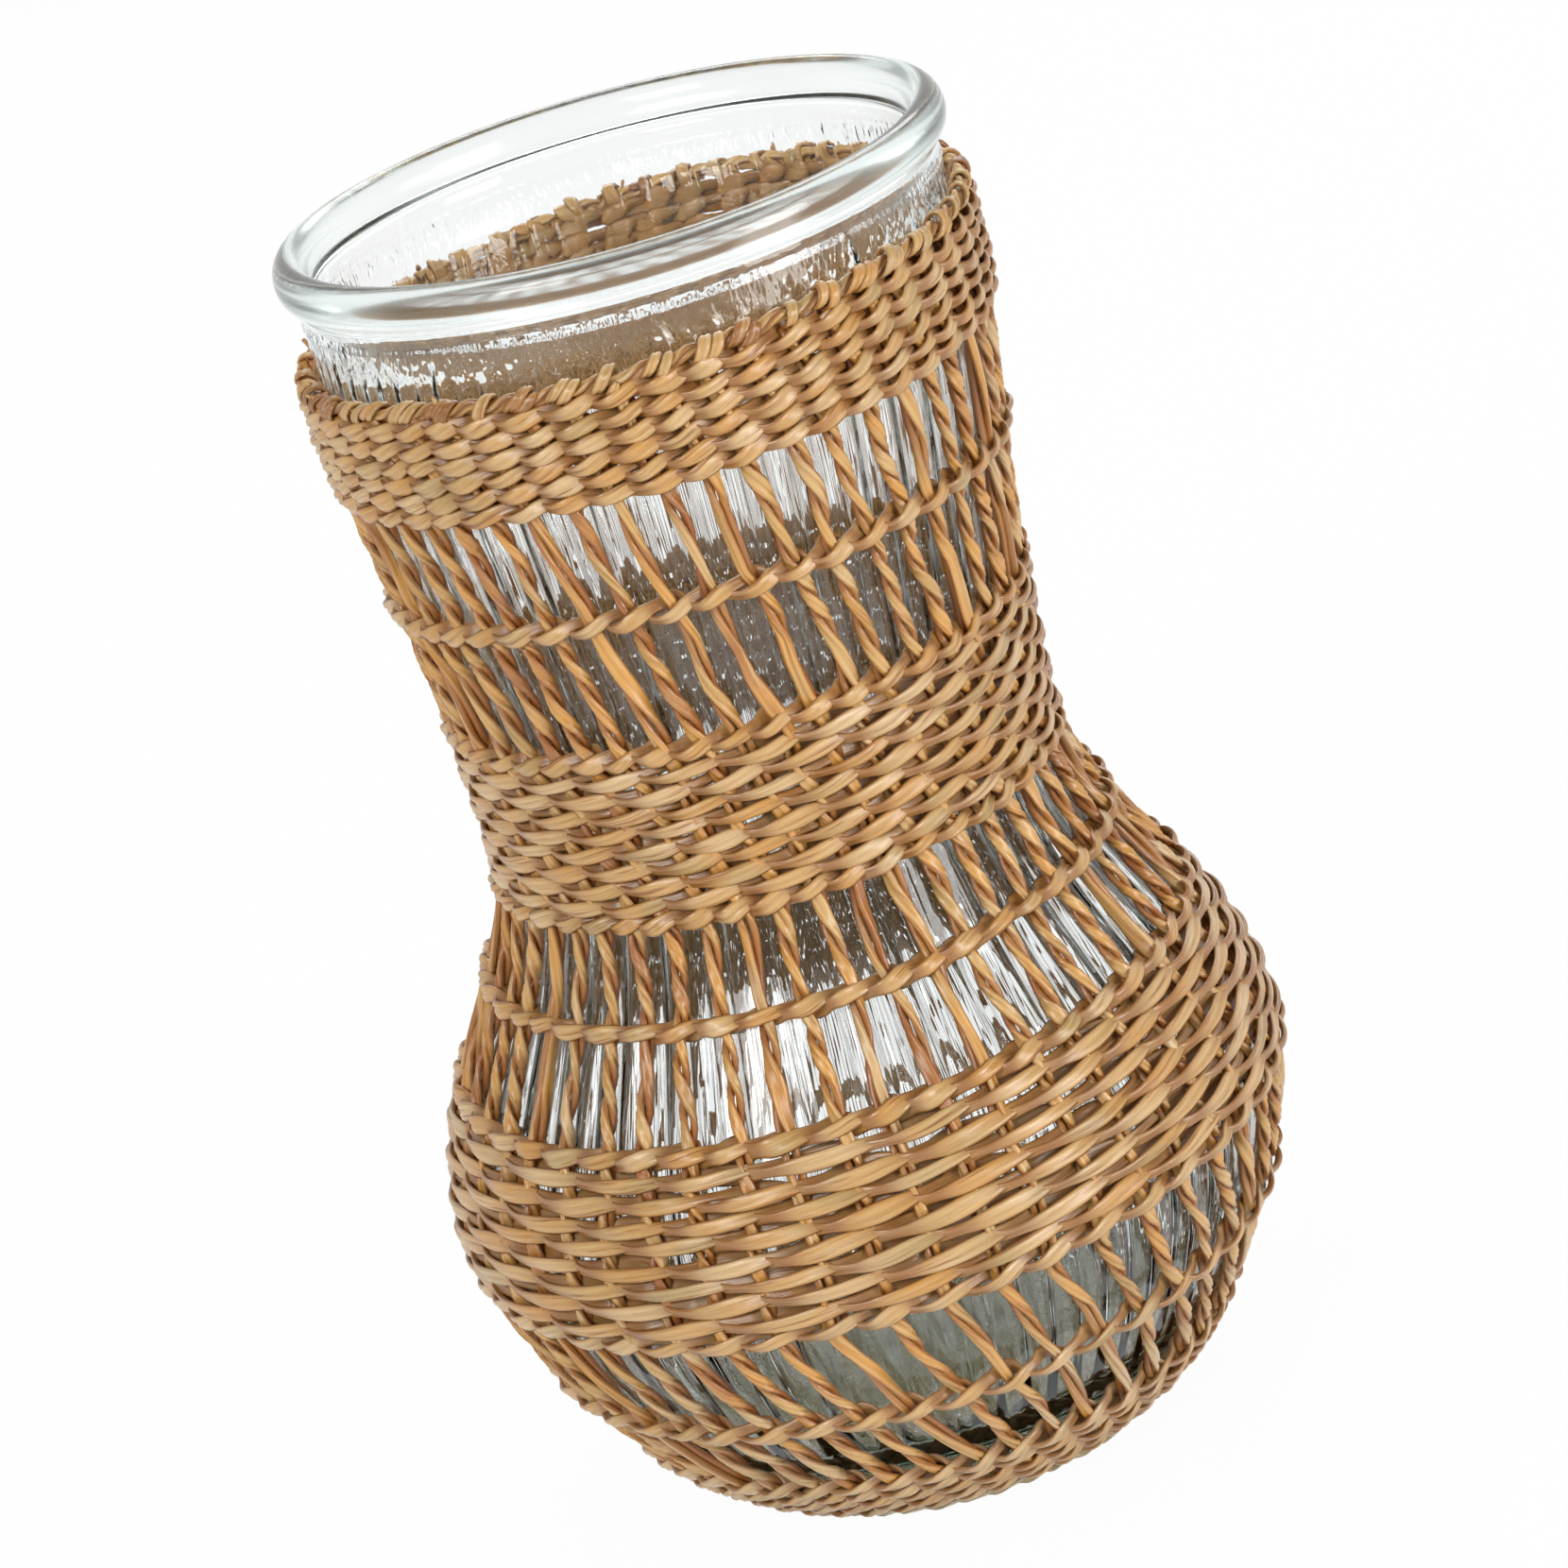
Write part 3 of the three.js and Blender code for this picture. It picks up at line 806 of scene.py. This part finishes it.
# %% Two-ply warps
PLY_WIDTH = 2.8 * MM
PLY_THICKNESS = 1.7 * MM
PLY_REACH_OUT = 0.85 * MM
PLY_REACH_ASIDE = 1.05 * MM
CORD_HEIGHTS = (HEEL_BAND[1], LOWER_ROW, BELLY_BAND[0], BELLY_BAND[1], SHOULDER_ROW, WAIST_BAND[0],
                WAIST_BAND[1], UPPER_ROW, TOP_BAND[0])
CORD_SIZES = (0.8, 0.74, 0.9, 1, 0.74, 1, 1, 0.72, 0.9)
TIGHT_SHARE = 0.75
TIGHT_LAY = (14, 22)
LOOSE_LAY = (34, 60)
RED_SHARE = 0.22
# Painted light from the floor: how much paler the warps are painted at the foot
FOOT_PAINTED_LIGHT = 0.4
PLAIN_TONES = (0, 1)
RED_TONES = (1.0, 1.4)
WARP_STEP = 1.6 * MM
# Kinks: the length of a straight run, and how far it strays
SWAY_KINKS = (11 * MM, 1.1 * MM)
TWIST_KINKS = (15 * MM, 1.2)
WIDTH_KINKS = (7 * MM, 0.25)
TONE_KINKS = (35 * MM, 0.3)


def kinked(length, step, size):
    """Random values at every step of a length, joined by straight runs, as a stiff strand bends."""
    stations = np.arange(0, length[-1] + 2 * step, step)
    return size * np.interp(length, stations, rng.uniform(-1, 1, len(stations)))


def drawn_tone(plain, red):
    """A tone from the plain range, or from the red-brown one for a share of the strands."""
    return rng.uniform(*(red if rng.uniform() < RED_SHARE else plain))


def warp_plies(index):
    """The two strands of a warp, from the border down to the heel."""
    low = HEEL_BAND[0] + 0.6 * MM
    high = TOP_BAND[1] + 0.4 * MM
    height = np.linspace(high, low, int((high - low) / WARP_STEP))
    length = high - height
    sway = kinked(length, *SWAY_KINKS)
    angle = 2 * np.pi * index / WARP_COUNT + warp_turn(height) + sway / wall(height)[0]
    lay = rng.uniform(*(TIGHT_LAY if rng.uniform() < TIGHT_SHARE else LOOSE_LAY)) * MM
    stage = 2 * np.pi * length / lay + kinked(length, *TWIST_KINKS) + rng.uniform(0, 6)
    size = np.interp(height, CORD_HEIGHTS, CORD_SIZES) * rng.uniform(0.85, 1.12)
    # Painted light: below the belly band the plies are painted paler, for light from the floor below
    painted_light = np.interp(height, (LOWER_ROW, BELLY_BAND[0]), (FOOT_PAINTED_LIGHT, 0))
    plies = []
    for partner in (0, 1):
        turn = stage + np.pi * partner
        centre, outward, _, sideways = on_wall(height, angle, WARP_OFFSET + PLY_REACH_OUT * np.cos(turn),
                                               aside=PLY_REACH_ASIDE * size * np.sin(turn))
        facing = outward * np.cos(turn)[:, None] + 0.8 * sideways * np.sin(turn)[:, None]
        swell = 1 + kinked(length, *WIDTH_KINKS) + 0.2 * np.cos(turn)
        width = PLY_WIDTH * size * rng.uniform(0.85, 1.15) * swell
        tone = drawn_tone(PLAIN_TONES, RED_TONES) + kinked(length, *TONE_KINKS) - painted_light
        # Painted shade on a ply where it turns in behind its partner, towards the glass
        painted_shade = 0.9 * np.clip(0.25 - np.cos(turn), 0, 1)
        thickness = PLY_THICKNESS * rng.uniform(0.85, 1.1)
        plies.append(strand(centre, facing, width, thickness, tone=tone, painted_shade=painted_shade))
    return plies


for index in range(WARP_COUNT):
    node = f"warp_cord_{index + 1:02d}"
    piece_from_strands(node + "_twisted", warp_plies(index), twisted_rush, [node])
print("warps:", WARP_COUNT)

# %% [markdown]
# ## The border
# The mouth of the sleeve is finished with a thin cord. The end of every warp is wrapped round it once or
# twice and tucked in, so a knot of slanting folds sits on each warp, with bare cord between the knots. A few
# cut ends stand out of the border, and three hang inside it at the back.

# %% Border cord and knots
BORDER_HEIGHT = 263.2 * MM
BORDER_OFFSET = 2.6 * MM
CORD_TURNS = 24
CORD_REACH = 0.6 * MM
CORD_CLIMB = 0.5 * MM
CORD_STEPS = WARP_COUNT * 10
CORD_PLY = (2.3 * MM, 1.5 * MM)
KNOT_REACH = 1.85 * MM
KNOT_TURNS = (1.2, 2.2)
KNOT_START = (2.8, 4.2)
KNOT_ADVANCE = (2.0, 3.0)
KNOT_SLANT = (0.4, 2.0)
KNOT_WIDTH = (2.2, 3.2)
KNOT_THICKNESS = 1.1 * MM
KNOT_TONES = (0.3, 1.0)
RED_KNOT_TONES = (1.1, 1.6)
KNOT_STEPS = 14
TIP_SHARE = 0.35
TIP_ROOT = 1.5 * MM
TIP_THICKNESS = 0.9 * MM
# Hanging ends: the angle in degrees, and the drop and the reach aside in millimetres
HANGING_ENDS = ((113, 7, 1), (116, 8.5, -0.5), (119, 7.5, -1))


def border_level(angle):
    """Height of the border cord, which climbs to the right between one knot and the next."""
    climb = -CORD_CLIMB * np.sin(WARP_COUNT * angle)
    return row_height(BORDER_HEIGHT, angle) + 0.3 * MM * np.sin(5 * angle + 1) + climb


def border_cord():
    """The two plies of the cord round the mouth."""
    angle = np.pi / 2 + 2 * np.pi * np.arange(CORD_STEPS) / CORD_STEPS
    plies = []
    for partner in (0, 1):
        turn = CORD_TURNS * angle + np.pi * partner
        offset = BORDER_OFFSET + CORD_REACH * np.cos(turn)
        path, outward, upward, _ = on_wall(border_level(angle), angle, offset, CORD_REACH * np.sin(turn))
        facing = outward * np.cos(turn)[:, None] + upward * np.sin(turn)[:, None]
        plies.append(strand(path, facing, *CORD_PLY, closed=True, tone=0.6))
    return plies


def border_knot(index):
    """A warp's end wrapped round the cord, each turn slanting up to the right over it."""
    turns = rng.uniform(*KNOT_TURNS)
    turn = np.linspace(0, turns * 2 * np.pi, int(turns * KNOT_STEPS)) + rng.uniform(*KNOT_START)
    share = np.linspace(-0.5, 0.5, len(turn))
    aside = turns * rng.uniform(*KNOT_ADVANCE) * MM * share
    centre = 2 * np.pi * (index + rng.uniform(-0.15, 0.15)) / WARP_COUNT
    angle = centre + aside / (COLLAR_RADIUS + BORDER_OFFSET)
    reach = KNOT_REACH * rng.uniform(0.85, 1.2) * (1 + 0.15 * np.sin(turn / 2 + rng.uniform(0, 6)))
    offset = BORDER_OFFSET + reach * np.cos(turn)
    path, outward, upward, sideways = on_wall(border_level(angle), angle, offset, reach * np.sin(turn))
    path = path + sideways * (rng.uniform(*KNOT_SLANT) * MM * np.sin(turn))[:, None]
    facing = outward * np.cos(turn)[:, None] + upward * np.sin(turn)[:, None]
    width = rng.uniform(*KNOT_WIDTH) * MM * np.interp(share, (-0.5, -0.42, 0.42, 0.5), (0.5, 1, 1, 0.5))
    tone = drawn_tone(KNOT_TONES, RED_KNOT_TONES)
    # Painted shade on each wrap where it turns in against the cord
    return strand(path, facing, width, KNOT_THICKNESS, tone=tone, painted_shade=0.5 * np.clip(-np.cos(turn), 0, 1))


def cut_tip(angle, out, rise, aside, width):
    """A strand's cut end, which stands out of the border, or hangs inside it where the rise is below 0."""
    share = np.linspace(0, 1, 7)
    angles = np.full(len(share), angle)
    path, outward, _, sideways = on_wall(border_level(angles), angles, BORDER_OFFSET + out * share ** 1.5,
                                         (rise + TIP_ROOT) * share - TIP_ROOT, aside * share)
    facing = outward + 0.4 * sideways
    width = width * np.interp(share, (0, 0.7, 1), (1, 0.9, 0.45))
    return strand(path, facing, width, TIP_THICKNESS, tone=rng.uniform(0.5, 1.2))


border = border_cord() + [border_knot(index) for index in range(WARP_COUNT)]
for index in range(WARP_COUNT):
    if rng.uniform() < TIP_SHARE:
        tip_angle = 2 * np.pi * (index + rng.uniform(-0.3, 0.3)) / WARP_COUNT
        border.append(cut_tip(tip_angle, rng.uniform(0, 2) * MM, rng.uniform(1.5, 3.6) * MM,
                              rng.uniform(-1.5, 1.5) * MM, rng.uniform(1.2, 2.2) * MM))
for degrees, drop, aside in HANGING_ENDS:
    border.append(cut_tip(math.radians(degrees), -1.6 * MM, -drop * MM, aside * MM, 2.4 * MM))
rim_border = piece_from_strands("rim_border_knotted", border, woven_rush, ["rim_border"])
print(rim_border.name, len(rim_border.data.polygons), "faces")

# %% [markdown]
# ## The base
# The bottom of the sleeve can't be seen in the photograph. Such sleeves are started there, with cords that
# cross at the middle and rows twined round and round them, so the mat is made that way: more spokes are
# let in as the rings grow. From the side it shows only through the thick glass of the base, which it tints.

# %% Woven mat
MAT_MIDDLE = 2.35 * MM
MAT_SWING = 0.56
MAT_PITCH = FOOT_RADIUS / 11
MAT_RINGS = 12
SPOKE_STARTS = {12: 0 * MM, 24: 15 * MM, 48: 32 * MM}
MAT_EDGE = 51 * MM
STEPS_PER_SPOKE = 8
SPOKE_POINTS = 16
SPOKE_SECTION = (2.4 * MM, 1.6 * MM)
EDGE_WIDTH = 3.0 * MM
EDGE_DROP = 0.7 * MM


def on_mat(radius, angle, offset, lift=0.0):
    """Points below the middle of the mat, with the downward and outward directions there."""
    reach = radius + np.asarray(lift)
    path = np.stack([reach * np.cos(angle), reach * np.sin(angle), MAT_MIDDLE - offset + 0 * angle], axis=-1)
    down = np.stack([0 * angle, 0 * angle, -1 + 0 * angle], axis=-1)
    out = np.stack([np.cos(angle), np.sin(angle), 0 * angle], axis=-1)
    return path, down, out


def mat_ring(radius):
    """A twined ring round the spokes that reach this radius."""
    warps = max(count for count, start in SPOKE_STARTS.items() if start < radius)
    place = places_round(warps, STEPS_PER_SPOKE)
    angle = 2 * np.pi * place / warps
    return twine(place, warps, 1, 0, SINGLE_WIDTH,
                 lambda offset, lift: on_mat(radius, angle, MAT_SWING * (offset - WARP_OFFSET), lift))


def mat_spoke(index):
    """A cord of the mat, from where it is let in out to the heel."""
    start = min(begin for count, begin in SPOKE_STARTS.items() if index % (WARP_COUNT // count) == 0)
    radius = np.linspace(start + 1 * MM, MAT_EDGE, SPOKE_POINTS)
    angle = np.full(SPOKE_POINTS, 2 * np.pi * index / WARP_COUNT)
    path, down, _ = on_mat(radius, angle, np.zeros(SPOKE_POINTS))
    return strand(path, down, *SPOKE_SECTION)


mat = [mat_spoke(index) for index in range(WARP_COUNT)]
for ring in range(MAT_RINGS):
    mat += mat_ring(MAT_PITCH * (ring + 1))
mat += twined_row(HEEL_BAND[0] - EDGE_DROP, 1, 0, EDGE_WIDTH)
base_mat = piece_from_strands("base_mat_woven", mat, painted_light_rush, ["base_mat"])
print(base_mat.name, len(base_mat.data.polygons), "faces")

# %% [markdown]
# ## Studio
# A plain white floor and a soft pale surround. The floor is shown white to the camera and to the glass, but
# for the camera a small part of it stays lit paper, so the vase keeps its shadow. Glass shows its form only
# against a change of brightness, so the surround that it sees is bright behind the vase and dimmer in front
# and overhead. The camera sees the surround white, and the light that it casts is even.

# %% Floor and surround
FLOOR_WHITE = 0.96
EVEN_LIGHT = 0.58
DIM_ROOM = 0.25
bpy.ops.mesh.primitive_circle_add(vertices=96, radius=6, fill_type="NGON", location=(0, 0, 0))
floor = bpy.context.object
floor.name = "studio_floor"


def seen_directly(tree):
    """Two masks: what the camera meets, and what a reflection or a view through glass meets."""
    kind = tree.nodes.new("ShaderNodeLightPath").outputs
    return kind["Is Camera Ray"], maths(tree, "MAXIMUM", kind["Is Glossy Ray"], kind["Is Transmission Ray"])


paper = bpy.data.materials.new("studio_paper")
paper.use_nodes = True
tree = paper.node_tree
shader = tree.nodes["Principled BSDF"]
shader.inputs["Base Color"].default_value = (0.9, 0.9, 0.9, 1)
shader.inputs["Roughness"].default_value = 0.9
glow = tree.nodes.new("ShaderNodeEmission")
glow.inputs["Strength"].default_value = 1
blend = tree.nodes.new("ShaderNodeMixShader")
by_camera, by_glass = seen_directly(tree)
shown_white = maths(tree, "MAXIMUM", maths(tree, "MULTIPLY", by_camera, FLOOR_WHITE), by_glass)
tree.links.new(shown_white, blend.inputs[0])
tree.links.new(shader.outputs[0], blend.inputs[1])
tree.links.new(glow.outputs[0], blend.inputs[2])
tree.links.new(blend.outputs[0], tree.nodes["Material Output"].inputs["Surface"])
floor.data.materials.append(paper)

world = bpy.data.worlds.new("studio_surround")
world.use_nodes = True
tree = world.node_tree
surround = tree.nodes["Background"]
surround.inputs["Color"].default_value = (1, 1, 1, 1)
heading = tree.nodes.new("ShaderNodeSeparateXYZ")
tree.links.new(tree.nodes.new("ShaderNodeTexCoord").outputs["Generated"], heading.inputs[0])
backdrop = maths(tree, "MULTIPLY", ramp(tree, heading.outputs["Y"], -0.25, 0.35),
                 ramp(tree, heading.outputs["Z"], 0.8, 0.45))
room = maths(tree, "ADD", maths(tree, "MULTIPLY", backdrop, 1 - DIM_ROOM), DIM_ROOM)
by_camera, by_glass = seen_directly(tree)
seen = maths(tree, "ADD", by_camera, maths(tree, "MULTIPLY", by_glass, room))
bounced = maths(tree, "SUBTRACT", 1.0, maths(tree, "MAXIMUM", by_camera, by_glass))
brightness = maths(tree, "ADD", seen, maths(tree, "MULTIPLY", bounced, EVEN_LIGHT))
tree.links.new(brightness, surround.inputs["Strength"])
bpy.context.scene.world = world
print("floor and surround ready")

# %% [markdown]
# Three large lamps light the vase softly: a key from the upper left, a fill low on the right and one behind,
# which brightens the glass. Each is a rectangle turned to face the middle of the vase.

# %% Lamps
LAMP_AIM = Vector((0, 0, 0.14))
# Each lamp's place and size in metres, and its power in watts
LAMPS = {
    "key_lamp": ((-0.9, -1.4, 1.2), (0.8, 0.8), 16),
    "fill_lamp": ((1.3, -1.1, 0.45), (0.7, 0.8), 14),
    "back_lamp": ((0.3, 1.4, 1.3), (1.0, 0.7), 9),
}
for name, (place, size, power) in LAMPS.items():
    bpy.ops.object.light_add(type="AREA", location=place)
    lamp = bpy.context.object
    lamp.name = name
    lamp.data.shape = "RECTANGLE"
    lamp.data.size, lamp.data.size_y = size
    lamp.data.energy = power
    lamp.rotation_euler = (LAMP_AIM - Vector(place)).to_track_quat("-Z", "Y").to_euler()
bpy.context.scene.view_settings.view_transform = "Standard"
print("lamps:", list(LAMPS))
